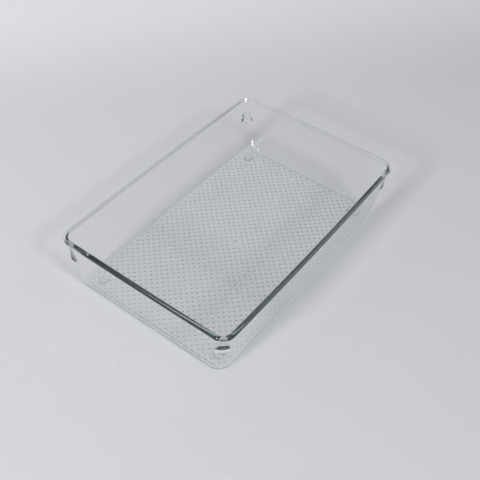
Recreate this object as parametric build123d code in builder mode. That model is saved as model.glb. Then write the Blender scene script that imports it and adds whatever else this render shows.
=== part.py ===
"""Clear moulded letter tray with stacking corners, standing on four clear bumper feet.

Millimetres, +Z up. The origin is at the bottom centre of the tray's box: Z = 0 is the plane that
the feet stand on, +X runs along the long side and +Y along the short side.
"""
from build123d import *
import math
import os

os.makedirs("parts", exist_ok=True)

# ---------------------------------------------------------------- driving dimensions
rim_length = 228.2          # over the rim, corner to corner along the long side
rim_width = 151.2           # over the rim, corner to corner along the short side
tray_height = 50.8          # from the table to the top of the rim
long_side_bow = 1.3         # how far a long side of the rim bulges at its middle
short_side_bow = 0.3        # how far a short side of the rim bulges at its middle

rim_face_width = 3.0        # flat top face of the rim
rim_corner_radius = 10.0    # outside corner of the rim, in plan
lip_overhang = 0.8          # the rim stands this far out from the wall below it
lip_depth = 3.0             # height of that band
rim_edge_break = 0.35       # narrow bevel along the two edges of the rim's face

draft_angle = 6.4           # outside wall, from upright
wall_at_floor = 2.0         # wall thickness where it meets the floor
floor_thickness = 2.0
base_corner_radius = 11.0   # outside corner at the base, in plan
base_round = 4.5            # rounding between the wall and the underside
floor_round = 3.0           # rounding between the wall and the floor, inside

lug_radius = 6.2            # the upright round lug outside each corner
lug_reach = 2.6             # how far it stands out of the wall at its flat shoulder
stack_clearance = 0.45      # play between a tray and the rim of the tray below it

foot_diameter = 8.5
foot_height = 1.1
foot_taper = 12.0           # the foot's side, from upright
foot_edge_break = 0.35      # bevel round its sole
foot_setback_x = 20.6       # from an end of the rim in to the foot's centre
foot_setback_y = 20.1       # from a long side of the rim in to the foot's centre

gate_diameter = 4.0         # shallow dish under the floor's centre, left by the moulding gate
gate_bottom_diameter = 2.6
gate_depth = 0.3
gate_nub_diameter = 1.2
gate_nub_height = 0.2

# ---------------------------------------------------------------- worked out from them
underside_z = foot_height
floor_z = underside_z + floor_thickness
draft_slope = math.tan(math.radians(draft_angle))
wall_height = tray_height - underside_z
cavity_depth = tray_height - floor_z

base_inset = lip_overhang + wall_height * draft_slope
floor_inset = lip_overhang + cavity_depth * draft_slope + wall_at_floor

# The sides are straight from the base up past the roundings, and bulge more and more above that.
straight_base = 1.2 * base_round
straight_floor = 1.2 * floor_round
cavity_slope = (floor_inset - rim_face_width) / (cavity_depth - rim_edge_break)
cavity_draft_angle = math.degrees(math.atan(cavity_slope))

# A tray in the stack stops where its wall has just become narrower than the rim's opening.
shoulder_drop = (rim_face_width + stack_clearance - lip_overhang) / draft_slope
shoulder_z = tray_height - shoulder_drop
shoulder_inset = lip_overhang + shoulder_drop * draft_slope


def blend(start, end, share):
    """The value that lies this share of the way from start to end."""
    return start + (end - start) * share


def side(start, end, bow):
    """One side of an outline: straight, or an arc that bulges outwards by bow."""
    if bow <= 0:
        return Line(start, end)
    middle = (Vector(*start) + Vector(*end)) * 0.5
    outwards = middle.normalized() * bow
    return ThreePointArc(start, middle + outwards, end)


def outline(height, inset, corner_radius, bow_share=1.0):
    """The tray's plan at one height: a rounded rectangle whose sides bulge a little."""
    half_x = rim_length / 2 - inset
    half_y = rim_width / 2 - inset
    with BuildSketch(Plane.XY.offset(height)) as plan:
        if bow_share == 0:
            RectangleRounded(2 * half_x, 2 * half_y, corner_radius)
        else:
            with BuildLine():
                side((-half_x, -half_y), (half_x, -half_y), long_side_bow * bow_share)
                side((half_x, -half_y), (half_x, half_y), short_side_bow * bow_share)
                side((half_x, half_y), (-half_x, half_y), long_side_bow * bow_share)
                side((-half_x, half_y), (-half_x, -half_y), short_side_bow * bow_share)
            make_face()
            fillet(plan.vertices(), radius=corner_radius)
    return plan.sketch


# ---------------------------------------------------------------- the space inside the tray
rim_inner_radius = rim_corner_radius - rim_face_width
floor_corner_radius = base_corner_radius - wall_at_floor

with BuildPart() as cavity:
    add(outline(floor_z, floor_inset, floor_corner_radius, bow_share=0))
    extrude(amount=straight_floor, taper=-cavity_draft_angle)
    loft([
        outline(
            floor_z + straight_floor,
            floor_inset - straight_floor * cavity_slope,
            floor_corner_radius + straight_floor * cavity_slope,
            bow_share=0,
        ),
        outline(tray_height - rim_edge_break, rim_face_width, rim_inner_radius),
        outline(tray_height, rim_face_width - rim_edge_break, rim_inner_radius + rim_edge_break),
    ], ruled=True)
    fillet(cavity.faces().sort_by(Axis.Z)[0].edges(), radius=floor_round)

# ---------------------------------------------------------------- the moulded tray
wall_corner_radius = rim_corner_radius - lip_overhang
band_corner_radius = base_corner_radius + straight_base * draft_slope
shoulder_corner_radius = blend(
    wall_corner_radius, band_corner_radius, shoulder_drop / (wall_height - straight_base)
)
# Centre of the wall's corner arc at the shoulder, and the lug's own centre further out from it,
# on the diagonal that a square corner has.
corner_x = rim_length / 2 - shoulder_inset - shoulder_corner_radius
corner_y = rim_width / 2 - shoulder_inset - shoulder_corner_radius
lug_offset = (shoulder_corner_radius + lug_reach - lug_radius) / math.sqrt(2)
lug_spacing_x = 2 * (corner_x + lug_offset)
lug_spacing_y = 2 * (corner_y + lug_offset)
lug_height = tray_height - lip_depth / 2 - shoulder_z

with BuildPart() as tray_body:
    add(outline(underside_z, base_inset, base_corner_radius, bow_share=0))
    extrude(amount=straight_base, taper=-draft_angle)
    loft([
        outline(
            underside_z + straight_base,
            base_inset - straight_base * draft_slope,
            band_corner_radius,
            bow_share=0,
        ),
        outline(tray_height, lip_overhang, wall_corner_radius),
    ], ruled=True)
    fillet(tray_body.faces().sort_by(Axis.Z)[0].edges(), radius=base_round)

    # The band of the rim, thicker than the wall below it, with a bevel round its top.
    add(outline(tray_height - lip_depth, 0, rim_corner_radius))
    extrude(amount=lip_depth - rim_edge_break)
    loft([
        outline(tray_height - rim_edge_break, 0, rim_corner_radius),
        outline(tray_height, rim_edge_break, rim_corner_radius - rim_edge_break),
    ], ruled=True)

    # Upright lugs on the corners. The wall leans in below them, so each ends in a flat shoulder.
    with BuildSketch(Plane.XY.offset(shoulder_z)) as lug_plan:
        with GridLocations(lug_spacing_x, lug_spacing_y, 2, 2):
            Circle(lug_radius)
    extrude(amount=lug_height)

    add(cavity.part, mode=Mode.SUBTRACT)

    # The dish that the moulding gate leaves, with its broken nub in the middle.
    with Locations((0, 0, underside_z + gate_depth / 2)):
        Cone(gate_diameter / 2, gate_bottom_diameter / 2, gate_depth, mode=Mode.SUBTRACT)
    with BuildSketch(Plane.XY.offset(underside_z + gate_depth - gate_nub_height)) as nub_plan:
        Circle(gate_nub_diameter / 2)
    extrude(amount=gate_nub_height + gate_depth / 2)

tray_body.part.label = "tray_body"
export_step(tray_body.part, "parts/tray_body.step")

# ---------------------------------------------------------------- the bumper feet
foot_places = {
    "foot_front_left": (-1, -1),
    "foot_front_right": (1, -1),
    "foot_rear_left": (-1, 1),
    "foot_rear_right": (1, 1),
}
for foot_name, (side_x, side_y) in foot_places.items():
    foot_x = side_x * (rim_length / 2 - foot_setback_x)
    foot_y = side_y * (rim_width / 2 - foot_setback_y)
    with BuildPart() as foot:
        with BuildSketch(Plane.XY.offset(underside_z)) as foot_pad:
            with Locations((foot_x, foot_y)):
                Circle(foot_diameter / 2)
        extrude(amount=-foot_height, taper=foot_taper)
        chamfer(foot.edges().sort_by(Axis.Z)[0], length=foot_edge_break)
    foot.part.label = foot_name
    export_step(foot.part, f"parts/{foot_name}.step")
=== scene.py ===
import logging
import math
from dataclasses import dataclass, field
from enum import Enum

import bpy
import numpy as np
from mathutils import Matrix, Vector


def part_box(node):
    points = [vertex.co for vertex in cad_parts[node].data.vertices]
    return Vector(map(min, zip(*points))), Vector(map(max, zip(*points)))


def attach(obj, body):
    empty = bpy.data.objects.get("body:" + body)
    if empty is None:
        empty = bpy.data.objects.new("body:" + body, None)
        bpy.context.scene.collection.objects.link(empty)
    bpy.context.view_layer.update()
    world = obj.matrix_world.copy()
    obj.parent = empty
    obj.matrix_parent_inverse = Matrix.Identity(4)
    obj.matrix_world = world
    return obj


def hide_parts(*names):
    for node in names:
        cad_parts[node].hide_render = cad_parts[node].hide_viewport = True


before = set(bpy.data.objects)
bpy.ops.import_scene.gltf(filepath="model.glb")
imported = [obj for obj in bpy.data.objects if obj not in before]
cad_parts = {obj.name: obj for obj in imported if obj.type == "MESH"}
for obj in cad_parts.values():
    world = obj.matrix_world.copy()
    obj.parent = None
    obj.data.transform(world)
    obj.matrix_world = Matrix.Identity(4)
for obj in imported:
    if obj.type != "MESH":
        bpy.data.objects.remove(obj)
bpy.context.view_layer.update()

MM = 0.001
# A wall stays straight over this many times the radius of the rounding at its foot.
STRAIGHT = 1.2
# How far up its stretch of wall each ring lies, closer together near both ends.
INNER_WALL = (0.02, 0.1, 0.22, 0.36, 0.5, 0.64, 0.78, 0.9, 0.98, 1.0)
LOWER_WALL = (0.04, 0.2, 0.4, 0.6, 0.8, 0.95)
# Radii of the rings that make one rounded point, as shares of its own.
POINT_RINGS = (1.0, 0.92, 0.78, 0.55, 0.28)
log = logging.getLogger("tray_scene")


# ------------------------------------------------------------------------------ mesh tools
class Skin:
    """The skin of one closed moulding, gathered ring by ring in millimetres."""

    def __init__(self) -> None:
        """Starts with no points and no faces."""
        self.points: list[tuple[float, float, float]] = []
        self.faces: list[tuple[int, ...]] = []

    def add(self, points: np.ndarray) -> np.ndarray:
        """Adds points.

        Args:
            points: one row of x, y, z per point.

        Returns:
            The index of each added point.
        """
        first = len(self.points)
        self.points.extend(map(tuple, points.tolist()))
        return np.arange(first, first + len(points))

    def bridge(self, before: np.ndarray, after: np.ndarray, closed: bool = True) -> None:
        """Joins two rows of points with quads.

        Args:
            before: the row that comes first along the moulding's section.
            after: the row that comes next, with as many points.
            closed: whether the rows are rings.
        """
        count = len(before)
        for k in range(count if closed else count - 1):
            n = (k + 1) % count
            self.faces.append((before[k], after[k], after[n], before[n]))

    def cap(self, ring: np.ndarray, centre: tuple[float, float, float]) -> None:
        """Closes a ring with a fan of triangles about one point.

        Args:
            ring: the last ring along the section.
            centre: the point in its middle.
        """
        middle = self.add(np.array([centre]))[0]
        for k, point in enumerate(ring):
            self.faces.append((point, middle, ring[(k + 1) % len(ring)]))

    def build(self, name: str, crease: float) -> bpy.types.Object:
        """Makes the Blender object.

        Args:
            name: the piece's name.
            crease: edges that turn by more than this angle, in degrees, stay sharp.

        Returns:
            The object, in metres in the CAD frame.
        """
        mesh = bpy.data.meshes.new(name)
        faces = [tuple(map(int, face)) for face in self.faces]
        mesh.from_pydata((np.array(self.points) * MM).tolist(), [], faces)
        mesh.validate()
        mesh.shade_smooth()
        mesh.set_sharp_from_angle(angle=math.radians(crease))
        mesh.update()
        piece = bpy.data.objects.new(name, mesh)
        bpy.context.scene.collection.objects.link(piece)
        return piece


def arc(start: float, end: float, steps: int) -> np.ndarray:
    """Angles along an arc, in radians, both ends included, from degrees."""
    return np.radians(np.linspace(start, end, steps + 1))


# ------------------------------------------------------------------------------ the moulding
class FloorFace(Enum):
    """The two faces of the tray's floor, with the way that each looks along Z."""

    UPPER = 1
    UNDER = -1


@dataclass(frozen=True)
class Station:
    """One ring of the moulding's section.

    Attributes:
        inset: how far the ring lies inside the rim's outer edge.
        height: its height over the table.
        corner: its corner radius.
        bow: the share of the sides' outward bow that it has.
        lug: the radius of the corner lugs at this ring, or 0 for none.
    """

    inset: float
    height: float
    corner: float
    bow: float
    lug: float = 0.0


@dataclass
class TrayMoulding:
    """The clear tray: floor with its points, walls, rim, corner lugs and gate mark.

    Sizes are in millimetres and follow the solid part.

    Attributes:
        rim_half_x: half the rim's length at its corners.
        rim_half_y: half the rim's width at its corners.
        top: height of the rim's face over the table.
        long_bow, short_bow: how far the long and short sides of the rim bulge.
        rim_face, rim_corner, rim_edge: its face's width, corner radius and edge rounding.
        lip_overhang, lip_depth, lip_round: how far the rim's band stands out, its height and the
            rounding under it.
        underside, floor_thickness: height of the floor's underside, and the floor's thickness.
        draft: lean of the outer wall, in degrees.
        wall_at_floor: thickness of the wall at the floor.
        base_corner, base_round, floor_round: corner radius of the base, and the roundings below
            the wall outside and inside.
        lug_radius, lug_reach, lug_edge: size of the corner lugs, how far they stand out, and the
            rounding of their lower ends.
        stack_clearance: play between a tray and the one below it.
        pitch: size of the floor's square cells.
        columns, rows: cells on each side of the middle one.
        point_radius, point_height, point_sides: size of the floor's points.
        parity: which of the alternate cells carry points.
        foot_clearance: how far from a foot's centre the points stop.
        corner_steps: steps round each corner of a ring.
        gate_radius, gate_bottom, gate_depth, gate_margin, gate_lead: the gate's dish.
        nub_radius, nub_height: the nub in its middle.
        foot_setback: how far the feet stand in from the rim along X and Y.
        crease: edges that turn by more than this, in degrees, stay sharp.
        skin: the points and faces gathered so far.
    """

    rim_half_x: float
    rim_half_y: float
    top: float
    long_bow: float = 1.3
    short_bow: float = 0.3
    rim_face: float = 3.0
    rim_corner: float = 10.0
    lip_overhang: float = 0.8
    lip_depth: float = 3.0
    lip_round: float = 0.21
    rim_edge: float = 0.35
    underside: float = 1.1
    floor_thickness: float = 2.0
    draft: float = 6.4
    wall_at_floor: float = 2.0
    base_corner: float = 11.0
    base_round: float = 4.5
    floor_round: float = 3.0
    lug_radius: float = 6.2
    lug_reach: float = 2.6
    lug_edge: float = 3.0
    stack_clearance: float = 0.45
    pitch: float = 3.0
    columns: int = 34
    rows: int = 21
    point_radius: float = 1.08
    point_height: float = 0.4
    point_sides: int = 12
    parity: int = 1
    foot_clearance: float = 5.0
    corner_steps: int = 24
    gate_radius: float = 2.0
    gate_bottom: float = 1.3
    gate_depth: float = 0.3
    gate_margin: float = 0.2
    gate_lead: float = 0.08
    nub_radius: float = 0.6
    nub_height: float = 0.2
    foot_setback: tuple[float, float] = (20.6, 20.1)
    crease: float = 28.0
    skin: Skin = field(default_factory=Skin)

    @property
    def floor(self) -> float:
        """Height of the floor's upper face."""
        return self.underside + self.floor_thickness

    @property
    def slope(self) -> float:
        """Outward lean of the outer wall for each millimetre of height."""
        return math.tan(math.radians(self.draft))

    @property
    def floor_inset(self) -> float:
        """Inset of the inner wall's line where it meets the floor."""
        return self.lip_overhang + (self.top - self.floor) * self.slope + self.wall_at_floor

    @property
    def shoulder(self) -> float:
        """Height of the lugs' flat shoulders."""
        return self.top - (self.rim_face + self.stack_clearance - self.lip_overhang) / self.slope

    def outer_inset(self, height: float) -> float:
        """Inset of the outer wall at a height."""
        return self.lip_overhang + (self.top - height) * self.slope

    def outer_bow(self, height: float) -> float:
        """Share of the bow that the outer wall has at a height, none past the base's rounding."""
        straight = self.underside + STRAIGHT * self.base_round
        return max(0.0, (height - straight) / (self.top - straight))

    def outer_corner(self, height: float) -> float:
        """Corner radius of the outer wall at a height."""
        straight = STRAIGHT * self.base_round
        low = self.base_corner + min(height - self.underside, straight) * self.slope
        return low + (self.rim_corner - self.lip_overhang - low) * self.outer_bow(height)

    def flat_corner(self, inset: float) -> float:
        """Corner radius of a flat face's edge at an inset, which its grid's last cells meet."""
        return self.rim_half_x - inset - (self.columns - 0.5) * self.pitch

    def stations_inside(self) -> list[Station]:
        """The rings from the floor's edge up the inner wall to the rim's face."""
        depth = self.top - self.rim_edge - self.floor
        slope = (self.floor_inset - self.rim_face) / depth
        lean = math.atan(slope)
        reach = self.floor_round * math.tan((math.pi / 2 - lean) / 2)
        centre = self.floor_inset + reach
        straight = STRAIGHT * self.floor_round
        corner_top = self.rim_corner - self.rim_face
        flat_corner = self.flat_corner(centre)

        def wall(height: float) -> tuple[float, float, float]:
            """Inset, corner radius and bow of the inner wall at a height."""
            rise = height - self.floor
            share = max(0.0, (rise - straight) / (self.top - self.floor - straight))
            low = self.base_corner - self.wall_at_floor + min(rise, straight) * slope
            return self.floor_inset - rise * slope, low + (corner_top - low) * share, share

        rings = []
        for angle in arc(0, 90 - math.degrees(lean), 12):
            height = self.floor + self.floor_round * (1 - math.cos(angle))
            inset = centre - self.floor_round * math.sin(angle)
            wall_inset, corner, bow = wall(height)
            blend = (inset - wall_inset) / reach
            rings.append(Station(inset, height, corner - blend * (corner - flat_corner), bow))
        start = rings[-1].height
        edge_start = self.top - self.rim_edge
        for share in INNER_WALL:
            height = start + (edge_start - start) * share
            inset, corner, bow = wall(height)
            rings.append(Station(inset, height, corner, bow))
        for angle in arc(0, 90, 5)[1:]:
            inset = self.rim_face - self.rim_edge * (1 - math.cos(angle))
            height = edge_start + self.rim_edge * math.sin(angle)
            rings.append(Station(inset, height, self.rim_corner - inset, 1.0))
        return rings

    def stations_outside(self) -> list[Station]:
        """The rings from the rim's face over the lip, down the wall and round to the underside."""
        rings = []
        for angle in arc(90, 0, 5):
            inset = self.rim_edge * (1 - math.cos(angle))
            height = self.top - self.rim_edge * (1 - math.sin(angle))
            rings.append(Station(inset, height, self.rim_corner - inset, 1.0))
        under = self.top - self.lip_depth
        rings.append(Station(0, under + self.lip_round * 1.8, self.rim_corner, 1.0))
        for angle in arc(0, 90, 4):
            inset = self.lip_round * (1 - math.cos(angle))
            height = under + self.lip_round * (1 - math.sin(angle))
            rings.append(Station(inset, height, self.rim_corner - inset, 1.0))
        shoulder = self.shoulder

        def wall(height: float, lug: float = 0.0) -> Station:
            """The outer wall's ring at a height, with lugs of a radius."""
            inset, corner = self.outer_inset(height), self.outer_corner(height)
            return Station(inset, height, corner, self.outer_bow(height), lug)

        rings.append(wall(under, self.lug_radius))
        for share in np.linspace(0.03, 1.0, 16):
            height = under + (shoulder + self.lug_edge - under) * share
            rings.append(wall(height, self.lug_radius))
        for angle in arc(0, 90, 8)[1:]:
            height = shoulder + self.lug_edge * (1 - math.sin(angle))
            rings.append(wall(height, self.lug_radius - self.lug_edge * (1 - math.cos(angle))))
        rings.append(wall(shoulder))
        lean = math.radians(self.draft)
        reach = self.base_round * math.tan((math.pi / 2 - lean) / 2)
        centre = self.outer_inset(self.underside) + reach
        last = self.underside + self.base_round * (1 + math.sin(-lean))
        for share in LOWER_WALL:
            rings.append(wall(shoulder + (last - shoulder) * share))
        for angle in arc(90 - self.draft, 0, 14):
            height = self.underside + self.base_round * (1 - math.cos(angle))
            inset = centre - self.base_round * math.sin(angle)
            blend = (inset - self.outer_inset(height)) / reach
            corner = self.outer_corner(height)
            corner = corner - blend * (corner - self.flat_corner(centre))
            rings.append(Station(inset, height, corner, 0.0))
        return rings

    def ring(self, station: Station) -> np.ndarray:
        """The points of one ring, anticlockwise from the near long side.

        Args:
            station: where along the section the ring lies.

        Returns:
            One row of x, y, z per point, in millimetres.
        """
        half_x = self.rim_half_x - station.inset
        half_y = self.rim_half_y - station.inset
        flat_x, flat_y = half_x - station.corner, half_y - station.corner
        along_x = np.linspace(-flat_x, flat_x, 2 * self.columns)
        along_y = np.linspace(-flat_y, flat_y, 2 * self.rows)
        turn = arc(0, 90, self.corner_steps)[1:-1]
        bend = np.c_[np.cos(turn), np.sin(turn)] * station.corner + (flat_x, flat_y)
        if station.lug:
            bend = self.push_to_lug(bend, np.array([flat_x, flat_y]), station.lug)
        back = bend[::-1]
        rows = (
            np.c_[along_x, np.full(len(along_x), -half_y)],
            back * (1, -1),
            np.c_[np.full(len(along_y), half_x), along_y],
            bend,
            np.c_[along_x[::-1], np.full(len(along_x), half_y)],
            back * (-1, 1),
            np.c_[np.full(len(along_y), -half_x), along_y[::-1]],
            bend * (-1, -1),
        )
        plan = np.vstack(rows)
        x, y = plan.T
        bowed_x = x * (1 + self.short_bow * station.bow / half_x * (1 - (y / half_y) ** 2))
        bowed_y = y * (1 + self.long_bow * station.bow / half_y * (1 - (x / half_x) ** 2))
        return np.c_[bowed_x, bowed_y, np.full(len(plan), station.height)]

    def push_to_lug(self, bend: np.ndarray, centre: np.ndarray, radius: float) -> np.ndarray:
        """Pushes the points of a corner out to the upright round lug where it stands proud.

        Args:
            bend: the corner's points, in plan.
            centre: the centre of the wall's corner arc.
            radius: the lug's radius.

        Returns:
            The points on the outside of the wall and lug together.
        """
        corner = self.outer_corner(self.shoulder)
        inset = self.outer_inset(self.shoulder) + corner
        offset = (corner + self.lug_reach - self.lug_radius) / math.sqrt(2)
        lug = np.array([self.rim_half_x - inset, self.rim_half_y - inset]) + offset
        ray = bend - centre
        length = np.hypot(*ray.T)[:, None]
        ray = ray / length
        to_lug = centre - lug
        along = (ray @ to_lug)[:, None]
        room = along**2 - (to_lug @ to_lug - radius**2)
        reach = -along + np.sqrt(np.maximum(room, 0.0))
        return centre + ray * np.maximum(length, np.where(room > 0, reach, 0.0))

    def has_point(self, column: int, row: int) -> bool:
        """Whether a cell of the floor's grid carries a moulded point."""
        if (column + row) % 2 != self.parity:
            return False
        x, y = column * self.pitch, row * self.pitch
        foot_x = self.rim_half_x - self.foot_setback[0]
        foot_y = self.rim_half_y - self.foot_setback[1]
        near_foot = math.hypot(abs(x) - foot_x, abs(y) - foot_y) < self.foot_clearance
        return not near_foot and (column, row) != (0, 0)

    def add_grid(self, edge: np.ndarray, face: FloorFace) -> None:
        """Lays one face of the floor as a grid of cells inside its edge.

        Args:
            edge: the ring at the face's edge.
            face: which face it is.
        """
        skin, pitch, sign = self.skin, self.pitch, face.value
        level = self.floor if face is FloorFace.UPPER else self.underside
        dotted = face is FloorFace.UNDER
        xs = (np.arange(2 * self.columns + 2) - self.columns - 0.5) * pitch
        ys = (np.arange(2 * self.rows + 2) - self.rows - 0.5) * pitch
        grid = np.full((len(xs), len(ys)), -1)
        for i, x in enumerate(xs):
            for j, y in enumerate(ys):
                if not (i in (0, len(xs) - 1) and j in (0, len(ys) - 1)):
                    grid[i, j] = skin.add(np.array([[x, y, level]]))[0]
        for i in range(len(xs) - 1):
            for j in range(len(ys) - 1):
                square = (grid[i, j], grid[i + 1, j], grid[i + 1, j + 1], grid[i, j + 1])
                column, row = i - self.columns, j - self.rows
                in_gate = face is FloorFace.UNDER and max(abs(column), abs(row)) < 2
                if -1 in square or in_gate:
                    continue
                if dotted and self.has_point(column, row):
                    self.add_point(square, (column * pitch, row * pitch), level, sign)
                else:
                    skin.faces.append(square[::sign])
        last_x, last_y = len(xs) - 1, len(ys) - 1
        near, far = grid[1:last_x, 0], grid[1:last_x, last_y][::-1]
        right, left = grid[last_x, 1:last_y], grid[0, 1:last_y][::-1]
        inner = (
            grid[last_x - 1, 1], grid[last_x - 1, last_y - 1], grid[1, last_y - 1], grid[1, 1],
        )
        arc_points = self.corner_steps - 1
        start = 0
        sides = (near, right, far, left)
        for k, side in enumerate(sides):
            row = edge[start:start + len(side)]
            for m in range(len(side) - 1):
                skin.faces.append((side[m], row[m], row[m + 1], side[m + 1])[::sign])
            end = start + len(side)
            bend = edge[np.arange(end - 1, end + arc_points + 1) % len(edge)]
            start = end + arc_points
            skin.faces.append((*bend, sides[(k + 1) % 4][0], inner[k], side[-1])[::sign])
        if face is FloorFace.UNDER:
            i, j = self.columns - 1, self.rows - 1
            self.add_gate(np.concatenate((
                grid[i:i + 3, j], grid[i + 3, j:j + 3],
                grid[i + 3:i:-1, j + 3], grid[i, j + 3:j:-1],
            )))

    def add_point(
        self, square: tuple[int, ...], centre: tuple[float, float], level: float, sign: int
    ) -> None:
        """Adds one moulded point in a cell of the floor.

        Args:
            square: the cell's four corners, anticlockwise from the near left.
            centre: the middle of the cell.
            level: the height of the face that it stands on.
            sign: 1 where the face looks up, -1 where it looks down.
        """
        skin, sides = self.skin, self.point_sides
        x, y = centre
        turn = 2 * np.pi * np.arange(sides) / sides - 3 * np.pi / 4
        rings = []
        height = self.point_height
        cap_radius = (self.point_radius**2 + height**2) / (2 * height)
        for share in POINT_RINGS:
            radius = self.point_radius * share
            rise = math.sqrt(cap_radius**2 - radius**2) - (cap_radius - height)
            plan = np.c_[x + radius * np.cos(turn), y + radius * np.sin(turn)]
            rings.append(skin.add(np.c_[plan, np.full(sides, level + sign * rise)]))
        base = rings[0]
        quarter = sides // 4
        for k in range(4):
            part = base[np.arange(k * quarter, (k + 1) * quarter + 1) % sides][::-1]
            skin.faces.append((square[k], square[(k + 1) % 4], *part)[::sign])
        for outer, inner in zip(rings, rings[1:]):
            for k in range(sides):
                n = (k + 1) % sides
                skin.faces.append((outer[k], outer[n], inner[n], inner[k])[::sign])
        apex = skin.add(np.array([[x, y, level + sign * height]]))[0]
        for k in range(sides):
            skin.faces.append((rings[-1][k], rings[-1][(k + 1) % sides], apex)[::sign])

    def add_gate(self, opening: np.ndarray) -> None:
        """Fills the opening left in the underside with the gate's dish and its broken nub.

        Args:
            opening: the points round the opening, anticlockwise from its near left corner.
        """
        skin, share = self.skin, 4
        count = len(opening) * share
        turn = 2 * np.pi * np.arange(count) / count - 3 * np.pi / 4
        roof = self.underside + self.gate_depth
        steps = (
            (self.gate_radius + self.gate_margin, self.underside),
            (self.gate_radius, self.underside),
            (self.gate_radius - self.gate_margin, self.underside + self.gate_lead),
            (self.gate_bottom, roof),
            (self.nub_radius, roof),
            (self.nub_radius * 0.9, roof - self.nub_height * 0.7),
            (self.nub_radius * 0.5, roof - self.nub_height),
        )
        rings = [
            skin.add(np.c_[radius * np.cos(turn), radius * np.sin(turn), np.full(count, height)])
            for radius, height in steps
        ]
        for k, corner in enumerate(opening):
            part = rings[0][np.arange(k * share, (k + 1) * share + 1) % count]
            skin.faces.append((*part, opening[(k + 1) % len(opening)], corner))
        for before, after in zip(rings, rings[1:]):
            skin.bridge(before, after)
        skin.cap(rings[-1], (0.0, 0.0, roof - self.nub_height))

    def build(self) -> bpy.types.Object:
        """Builds the moulding.

        Returns:
            The closed piece.
        """
        stations = self.stations_inside() + self.stations_outside()
        rings = [self.skin.add(self.ring(station)) for station in stations]
        self.add_grid(rings[0], FloorFace.UPPER)
        for before, after in zip(rings, rings[1:]):
            self.skin.bridge(before, after)
        self.add_grid(rings[-1], FloorFace.UNDER)
        return self.skin.build("tray_moulding", self.crease)


@dataclass
class BumperFoot:
    """One clear self-adhesive bumper under the floor. Sizes are in millimetres.

    Attributes:
        name: the piece's name.
        centre: where it is stuck, in plan.
        top: height of its upper face, before it sinks into the floor.
        radius: its largest radius.
        edge_out, edge_up: width and height of its rounded side.
        sunk: how far its top is pressed into the floor.
        top_edge: the bevel round its top.
        sides: steps round it.
        crease: edges that turn by more than this, in degrees, stay sharp.
    """

    name: str
    centre: tuple[float, float]
    top: float
    radius: float = 4.25
    edge_out: float = 2.0
    edge_up: float = 1.02
    sunk: float = 0.02
    top_edge: float = 0.05
    sides: int = 48
    crease: float = 40.0

    def build(self) -> bpy.types.Object:
        """Builds the foot as a turned, rounded pad.

        Returns:
            The closed piece.
        """
        skin = Skin()
        turn = 2 * np.pi * np.arange(self.sides) / self.sides
        top, sole = self.top + self.sunk, self.radius - self.edge_out
        profile = [
            (self.radius * 0.5, top),
            (self.radius - self.top_edge, top),
            (self.radius, top - self.top_edge),
        ]
        for angle in arc(90, 0, 12):
            rise = self.edge_up * (1 - math.cos(angle))
            profile.append((sole + self.edge_out * math.sin(angle), rise))
        profile.append((sole * 0.5, 0.0))
        rings = [
            skin.add(np.c_[
                self.centre[0] + radius * np.cos(turn),
                self.centre[1] + radius * np.sin(turn),
                np.full(self.sides, height),
            ])
            for radius, height in profile
        ]
        skin.cap(rings[0][::-1], (*self.centre, top))
        for before, after in zip(rings, rings[1:]):
            skin.bridge(before, after)
        skin.cap(rings[-1], (*self.centre, 0.0))
        return skin.build(self.name, self.crease)


# ------------------------------------------------------------------------------ finishes
def build_handling_marks() -> bpy.types.NodeTree:
    """Builds the shader group that gives handled clear plastic its faint smudges.

    Returns:
        The node group.
    """
    group = bpy.data.node_groups.new("handling_marks", "ShaderNodeTree")
    face = group.interface
    size = face.new_socket("Smudge scale", in_out="INPUT", socket_type="NodeSocketFloat")
    size.default_value = 60.0
    face.new_socket("Smudges", in_out="OUTPUT", socket_type="NodeSocketFloat")
    nodes, links = group.nodes, group.links
    given, out = nodes.new("NodeGroupInput"), nodes.new("NodeGroupOutput")
    place = nodes.new("ShaderNodeTexCoord")
    smudge = nodes.new("ShaderNodeTexNoise")
    smudge.inputs["Detail"].default_value = 5.0
    smudge.inputs["Roughness"].default_value = 0.6
    ramp = nodes.new("ShaderNodeMapRange")
    ramp.inputs["From Min"].default_value = 0.52
    ramp.inputs["From Max"].default_value = 0.78
    links.new(place.outputs["Object"], smudge.inputs["Vector"])
    links.new(given.outputs["Smudge scale"], smudge.inputs["Scale"])
    links.new(smudge.outputs["Fac"], ramp.inputs["Value"])
    links.new(ramp.outputs["Result"], out.inputs["Smudges"])
    return group


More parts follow.
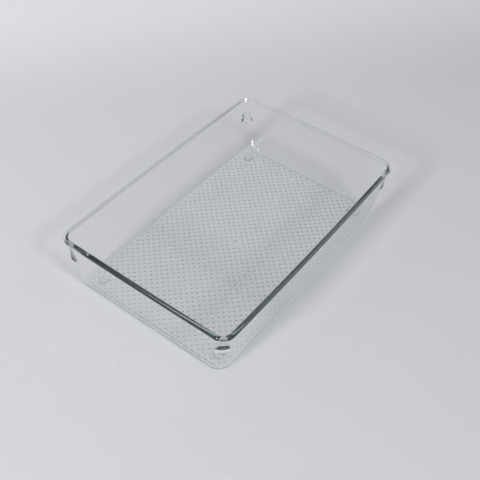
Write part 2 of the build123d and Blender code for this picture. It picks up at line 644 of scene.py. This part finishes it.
@dataclass(frozen=True)
class ClearPlastic:
    """A clear moulded plastic.

    Attributes:
        name: the material's name.
        ior: index of refraction.
        clean: colour of clean plastic.
        marked: colour where it is smudged.
        gloss: roughness where clean.
        dull: roughness where marked.
        ripple: height of the slow ripples from moulding, in metres.
        body: colour that a long path through the plastic takes on.
        depth: how strongly it does, per metre.
        ripple_scale: how close together the ripples are.
        rim: height above which the thick rim turns light aside, in metres.
        rim_light: share of the light that still gets through each face there.
    """

    name: str
    ior: float
    clean: tuple[float, float, float]
    marked: tuple[float, float, float]
    gloss: float
    dull: float
    ripple: float
    body: tuple[float, float, float]
    depth: float
    ripple_scale: float = 28.0
    rim: float = 1.0
    rim_light: float = 0.35

    def let_light_through(
        self, material: bpy.types.Material, place: bpy.types.NodeSocket
    ) -> None:
        """Lets light fall straight through on to the paper, so that the shadow stays pale.

        A ray on its way between a lamp and the paper loses only what each face reflects. Rays that
        see the plastic itself are bent by it as usual.

        Args:
            material: the material, with its main shader linked to the output.
            place: the socket that gives the place on the piece.
        """
        nodes, links = material.node_tree.nodes, material.node_tree.links
        ray = nodes.new("ShaderNodeLightPath")
        facing = nodes.new("ShaderNodeNewGeometry")
        bend = nodes.new("ShaderNodeMapRange")
        bend.inputs["To Min"].default_value = self.ior
        bend.inputs["To Max"].default_value = 1.0 / self.ior
        mirror = nodes.new("ShaderNodeFresnel")
        links.new(facing.outputs["Backfacing"], bend.inputs["Value"])
        links.new(bend.outputs["Result"], mirror.inputs["IOR"])
        passed, reflected = nodes.new("ShaderNodeMix"), nodes.new("ShaderNodeMix")
        for share in (passed, reflected):
            share.data_type = "RGBA"
            share.inputs["A"].default_value = (0.0, 0.0, 0.0, 1.0)
            share.inputs["B"].default_value = (0.0, 0.0, 0.0, 1.0)
            links.new(mirror.outputs["Fac"], share.inputs["Factor"])
        height = nodes.new("ShaderNodeSeparateXYZ")
        in_rim = nodes.new("ShaderNodeMath")
        in_rim.operation = "GREATER_THAN"
        in_rim.inputs[1].default_value = self.rim
        shade = nodes.new("ShaderNodeMapRange")
        shade.inputs["To Min"].default_value = 1.0
        shade.inputs["To Max"].default_value = self.rim_light
        links.new(place, height.inputs["Vector"])
        links.new(height.outputs["Z"], in_rim.inputs[0])
        links.new(in_rim.outputs["Value"], shade.inputs["Value"])
        links.new(shade.outputs["Result"], passed.inputs["A"])
        reflected.inputs["B"].default_value = (1.0, 1.0, 1.0, 1.0)
        straight = nodes.new("ShaderNodeBsdfTransparent")
        bounced = nodes.new("ShaderNodeBsdfGlossy")
        bounced.inputs["Roughness"].default_value = 0.0
        both = nodes.new("ShaderNodeAddShader")
        links.new(passed.outputs["Result"], straight.inputs["Color"])
        links.new(reflected.outputs["Result"], bounced.inputs["Color"])
        links.new(straight.outputs["BSDF"], both.inputs[0])
        links.new(bounced.outputs["BSDF"], both.inputs[1])
        surface = nodes["Principled BSDF"].outputs["BSDF"]
        for kind in ("Is Diffuse Ray", "Is Shadow Ray"):
            choice = nodes.new("ShaderNodeMixShader")
            links.new(ray.outputs[kind], choice.inputs["Fac"])
            links.new(surface, choice.inputs[1])
            links.new(both.outputs["Shader"], choice.inputs[2])
            surface = choice.outputs["Shader"]
        links.new(surface, nodes["Material Output"].inputs["Surface"])

    def build(self, marks: bpy.types.NodeTree) -> bpy.types.Material:
        """Builds the material.

        Args:
            marks: the shared group of handling marks.

        Returns:
            The material.
        """
        material = bpy.data.materials.new(self.name)
        material.use_nodes = True
        nodes, links = material.node_tree.nodes, material.node_tree.links
        shader = nodes["Principled BSDF"]
        shader.inputs["IOR"].default_value = self.ior
        shader.inputs["Transmission Weight"].default_value = 1.0
        handled = nodes.new("ShaderNodeGroup")
        handled.node_tree = marks
        tone = nodes.new("ShaderNodeMix")
        tone.data_type = "RGBA"
        tone.inputs["A"].default_value = (*self.clean, 1.0)
        tone.inputs["B"].default_value = (*self.marked, 1.0)
        polish = nodes.new("ShaderNodeMapRange")
        polish.inputs["To Min"].default_value = self.gloss
        polish.inputs["To Max"].default_value = self.dull
        links.new(handled.outputs["Smudges"], tone.inputs["Factor"])
        links.new(tone.outputs["Result"], shader.inputs["Base Color"])
        links.new(handled.outputs["Smudges"], polish.inputs["Value"])
        links.new(polish.outputs["Result"], shader.inputs["Roughness"])
        place = nodes.new("ShaderNodeTexCoord")
        slow = nodes.new("ShaderNodeTexNoise")
        slow.inputs["Scale"].default_value = self.ripple_scale
        slow.inputs["Detail"].default_value = 1.0
        bump = nodes.new("ShaderNodeBump")
        bump.inputs["Strength"].default_value = 1.0
        bump.inputs["Distance"].default_value = self.ripple
        links.new(place.outputs["Object"], slow.inputs["Vector"])
        links.new(slow.outputs["Fac"], bump.inputs["Height"])
        links.new(bump.outputs["Normal"], shader.inputs["Normal"])
        absorb = nodes.new("ShaderNodeVolumeAbsorption")
        absorb.inputs["Color"].default_value = (*self.body, 1.0)
        absorb.inputs["Density"].default_value = self.depth
        links.new(absorb.outputs["Volume"], nodes["Material Output"].inputs["Volume"])
        self.let_light_through(material, place.outputs["Object"])
        return material


@dataclass(frozen=True)
class Fade:
    """A change across the floor, used to paint lamp light and shade into the paper's colour.

    Attributes:
        way: the direction that it runs in, in plan.
        start: how far along it the change begins, in metres.
        end: how far along it the change is complete, in metres.
        smooth: whether it eases in and out.
    """

    way: tuple[float, float]
    start: float
    end: float
    smooth: bool = False

    def build(
        self, material: bpy.types.Material, place: bpy.types.NodeSocket
    ) -> bpy.types.NodeSocket:
        """Adds the fade's nodes.

        Args:
            material: the material to add them to.
            place: the socket that gives the place on the floor.

        Returns:
            The socket that runs from 0 to 1.
        """
        nodes, links = material.node_tree.nodes, material.node_tree.links
        along = nodes.new("ShaderNodeVectorMath")
        along.operation = "DOT_PRODUCT"
        along.inputs[1].default_value = (*self.way, 0.0)
        ramp = nodes.new("ShaderNodeMapRange")
        ramp.interpolation_type = "SMOOTHSTEP" if self.smooth else "LINEAR"
        ramp.inputs["From Min"].default_value = self.start
        ramp.inputs["From Max"].default_value = self.end
        links.new(place, along.inputs[0])
        links.new(along.outputs["Value"], ramp.inputs["Value"])
        return ramp.outputs["Result"]


@dataclass(frozen=True)
class StudioPaper:
    """The seamless paper that the tray stands on, its colour painted brighter towards the back and
    the left as painted light for the lamps' falloff.

    Attributes:
        name: the material's name.
        painted_shade_right: its colour at the right, darkened there as painted shade for the lamps'
            falloff.
        painted_light_left: its colour at the left, brightened there as painted light.
        painted_light_at_back: painted light, how much brighter it gets at the back.
        across: the fade of the painted light from dim to pale.
        back: the fade towards the back.
        cloud: how strong its faint clouds are.
        cloud_scale: how close together they are.
        dull: its roughness.
        sheen: how strongly it reflects.
    """

    name: str
    painted_shade_right: tuple[float, float, float]
    painted_light_left: tuple[float, float, float]
    painted_light_at_back: tuple[float, float, float]
    across: Fade
    back: Fade
    cloud: float = 0.03
    cloud_scale: float = 9.0
    dull: float = 0.75
    sheen: float = 0.2

    def build(self) -> bpy.types.Material:
        """Builds the material.

        Returns:
            The material.
        """
        material = bpy.data.materials.new(self.name)
        material.use_nodes = True
        nodes, links = material.node_tree.nodes, material.node_tree.links
        shader = nodes["Principled BSDF"]
        shader.inputs["Roughness"].default_value = self.dull
        shader.inputs["Specular IOR Level"].default_value = self.sheen
        place = nodes.new("ShaderNodeTexCoord").outputs["Object"]
        # The colour fades from dim to pale across the floor: painted light and shade for the lamps'
        # falloff.
        tone = nodes.new("ShaderNodeMix")
        tone.data_type = "RGBA"
        tone.inputs["A"].default_value = (*self.painted_shade_right, 1.0)
        tone.inputs["B"].default_value = (*self.painted_light_left, 1.0)
        links.new(self.across.build(material, place), tone.inputs["Factor"])
        # Painted light: the colour gets brighter towards the back.
        painted_light_mix = nodes.new("ShaderNodeMix")
        painted_light_mix.data_type = "RGBA"
        painted_light_mix.blend_type = "ADD"
        painted_light_mix.inputs["B"].default_value = (*self.painted_light_at_back, 1.0)
        links.new(tone.outputs["Result"], painted_light_mix.inputs["A"])
        links.new(self.back.build(material, place), painted_light_mix.inputs["Factor"])
        noise = nodes.new("ShaderNodeTexNoise")
        noise.inputs["Scale"].default_value = self.cloud_scale
        noise.inputs["Detail"].default_value = 3.0
        depth = nodes.new("ShaderNodeMapRange")
        depth.inputs["To Max"].default_value = self.cloud
        cloudy = nodes.new("ShaderNodeMix")
        cloudy.data_type = "RGBA"
        cloudy.inputs["B"].default_value = (0.0, 0.0, 0.0, 1.0)
        links.new(place, noise.inputs["Vector"])
        links.new(noise.outputs["Fac"], depth.inputs["Value"])
        links.new(depth.outputs["Result"], cloudy.inputs["Factor"])
        links.new(painted_light_mix.outputs["Result"], cloudy.inputs["A"])
        links.new(cloudy.outputs["Result"], shader.inputs["Base Color"])
        return material


# ------------------------------------------------------------------------------ the studio
@dataclass(frozen=True)
class SoftLight:
    """One soft rectangular lamp.

    Attributes:
        name: the lamp's name.
        place: where it stands, in metres.
        aim: what it points at, in metres.
        size: its width and height, in metres.
        power: its power, in watts.
        colour: its colour.
    """

    name: str
    place: tuple[float, float, float]
    aim: tuple[float, float, float]
    size: tuple[float, float]
    power: float
    colour: tuple[float, float, float] = (1.0, 1.0, 1.0)

    def build(self) -> bpy.types.Object:
        """Hangs the lamp.

        Returns:
            The lamp.
        """
        lamp = bpy.data.lights.new(self.name, "AREA")
        lamp.shape = "RECTANGLE"
        lamp.size, lamp.size_y = self.size
        lamp.energy = self.power
        lamp.color = self.colour
        holder = bpy.data.objects.new(self.name, lamp)
        bpy.context.scene.collection.objects.link(holder)
        holder.location = self.place
        way = Vector(self.aim) - Vector(self.place)
        holder.rotation_euler = way.to_track_quat("-Z", "Y").to_euler()
        return holder


@dataclass
class Studio:
    """Floor sweep, soft lamps, surroundings and camera.

    Attributes:
        level: height of the floor, just under the feet, in metres.
        floor_radius, bend_radius, wall_height: size of the sweep, in metres.
        sides: steps round it.
        camera_place: where the camera stands, in metres.
        camera_azimuth, camera_elevation, camera_roll: the way it looks, in degrees.
        lens, sensor: its focal length and sensor width, in millimetres.
        clip_start: the nearest thing that it sees, in metres.
        room_colour, room_strength: light of the room round the table.
        clear_bounces: how often light may turn inside clear plastic.
        paper_bounces: how often it may leave the paper.
        lamps: the soft lamps.
    """

    level: float = -0.00005
    floor_radius: float = 2.6
    bend_radius: float = 0.8
    wall_height: float = 1.6
    sides: int = 96
    camera_place: tuple[float, float, float] = (-0.3301, -0.2280, 0.4211)
    camera_azimuth: float = -55.9
    camera_elevation: float = 46.05
    camera_roll: float = 3.51
    lens: float = 53.42
    sensor: float = 36.0
    clip_start: float = 0.01
    room_colour: tuple[float, float, float] = (0.83, 0.83, 0.85)
    room_strength: float = 0.595
    clear_bounces: int = 12
    paper_bounces: int = 8
    lamps: tuple[SoftLight, ...] = (
        SoftLight("soft_left", (-2.45, 0.1, 1.35), (0.0, 0.0, 0.0), (0.45, 0.45), 43.0),
        SoftLight("soft_right", (-0.53, -1.98, 1.91), (0.0, 0.0, 0.0), (0.42, 0.42), 21.5),
    )

    def build_sweep(self, paper: bpy.types.Material) -> bpy.types.Object:
        """Lays the round floor that curves up into a low backdrop all round.

        Args:
            paper: the floor's material.

        Returns:
            The floor.
        """
        turn = 2 * np.pi * np.arange(self.sides) / self.sides
        profile = [(r, self.level) for r in (0.35, 0.8, 1.6, self.floor_radius)]
        for angle in arc(0, 90, 12)[1:]:
            profile.append((self.floor_radius + self.bend_radius * math.sin(angle),
                            self.level + self.bend_radius * (1 - math.cos(angle))))
        profile.append((self.floor_radius + self.bend_radius, self.wall_height))
        points = [(0.0, 0.0, self.level)]
        for radius, height in profile:
            points += [(radius * math.cos(a), radius * math.sin(a), height) for a in turn]
        faces = [(0, 1 + k, 1 + (k + 1) % self.sides) for k in range(self.sides)]
        for ring in range(len(profile) - 1):
            low, high = 1 + ring * self.sides, 1 + (ring + 1) * self.sides
            for k in range(self.sides):
                n = (k + 1) % self.sides
                faces.append((low + k, high + k, high + n, low + n))
        mesh = bpy.data.meshes.new("studio_floor")
        mesh.from_pydata(points, [], faces)
        mesh.shade_smooth()
        mesh.materials.append(paper)
        floor = bpy.data.objects.new("studio_floor", mesh)
        bpy.context.scene.collection.objects.link(floor)
        return floor

    def build_surroundings(self) -> None:
        """Gives the room round the table its even, dimmer grey."""
        world = bpy.data.worlds.new("studio_room")
        bpy.context.scene.world = world
        world.use_nodes = True
        back = world.node_tree.nodes["Background"]
        back.inputs["Color"].default_value = (*self.room_colour, 1.0)
        back.inputs["Strength"].default_value = self.room_strength

    def build_camera(self) -> bpy.types.Object:
        """Stands the camera above the near left corner.

        Returns:
            The camera.
        """
        az = math.radians(self.camera_azimuth)
        el = math.radians(self.camera_elevation)
        roll = math.radians(self.camera_roll)
        ahead = Vector((-math.sin(az) * math.cos(el), math.cos(az) * math.cos(el), -math.sin(el)))
        right = ahead.cross(Vector((0, 0, 1))).normalized()
        up = right.cross(ahead)
        turned_right = right * math.cos(roll) + up * math.sin(roll)
        turned_up = up * math.cos(roll) - right * math.sin(roll)
        lens = bpy.data.cameras.new("studio_camera")
        lens.lens = self.lens
        lens.sensor_width = self.sensor
        lens.clip_start = self.clip_start
        camera = bpy.data.objects.new("studio_camera", lens)
        bpy.context.scene.collection.objects.link(camera)
        axes = Matrix((turned_right, turned_up, -ahead)).transposed().to_4x4()
        camera.matrix_world = Matrix.Translation(self.camera_place) @ axes
        bpy.context.scene.camera = camera
        return camera

    def build_lamps(self) -> None:
        """Hangs the soft lamps."""
        for lamp in self.lamps:
            lamp.build()

    def build(self) -> None:
        """Builds the whole studio."""
        # The paper's colour is painted brighter to the left and towards the back: painted light for
        # the lamps' falloff.
        paper = StudioPaper(
            "studio_paper",
            painted_shade_right=(0.55, 0.558, 0.575),
            painted_light_left=(0.728, 0.739, 0.761),
            painted_light_at_back=(0.172, 0.175, 0.18),
            across=Fade((-0.58, 0.815), -0.488, 0.503),
            back=Fade((0.647, 0.763), 0.186, 0.431, smooth=True),
        )
        self.build_sweep(paper.build())
        self.build_surroundings()
        self.build_lamps()
        self.build_camera()
        scene = bpy.context.scene
        scene.view_settings.view_transform = "Standard"
        scene.cycles.blur_glossy = 0.0
        scene.cycles.max_bounces = self.clear_bounces
        scene.cycles.transmission_bounces = self.clear_bounces
        scene.cycles.glossy_bounces = self.clear_bounces
        scene.cycles.diffuse_bounces = self.paper_bounces
        scene.cycles.sample_clamp_indirect = 0.0


# ------------------------------------------------------------------------------ putting it together
def main() -> None:
    """Builds the tray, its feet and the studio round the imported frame."""
    logging.basicConfig(level=logging.INFO, format="%(message)s")
    marks = build_handling_marks()
    low, high = (np.array(c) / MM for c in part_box("tray_body"))
    moulding = TrayMoulding(
        rim_half_x=high[0] - TrayMoulding.short_bow,
        rim_half_y=high[1] - TrayMoulding.long_bow,
        top=high[2],
        underside=low[2],
    )
    tray_finish = ClearPlastic(
        "clear_tray_plastic",
        ior=1.57,
        clean=(1.0, 0.99, 0.986),
        marked=(0.987, 0.98, 0.974),
        gloss=0.0,
        dull=0.04,
        ripple=0.00001,
        body=(0.08, 0.44, 0.53),
        depth=10.0,
        rim=(moulding.top - moulding.lip_depth) * MM,
    )
    foot_finish = ClearPlastic(
        "clear_bumper_gel",
        ior=1.50,
        clean=(0.97, 0.975, 0.975),
        marked=(0.93, 0.935, 0.935),
        gloss=0.03,
        dull=0.10,
        ripple=0.00002,
        body=(0.6, 0.65, 0.62),
        depth=30.0,
    )
    tray = moulding.build()
    tray.data.materials.append(tray_finish.build(marks))
    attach(tray, "root")
    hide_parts("tray_body")
    log.info("tray_moulding: %d faces", len(tray.data.polygons))
    gel = foot_finish.build(marks)
    for node in ("foot_front_left", "foot_front_right", "foot_rear_left", "foot_rear_right"):
        low, high = (np.array(c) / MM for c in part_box(node))
        middle = (low + high) / 2
        name = node.replace("foot", "bumper")
        foot = BumperFoot(name, (middle[0], middle[1]), high[2]).build()
        foot.data.materials.append(gel)
        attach(foot, "root")
        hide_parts(node)
        log.info("%s: %d faces", foot.name, len(foot.data.polygons))
    Studio().build()


if __name__ == "__main__":
    main()
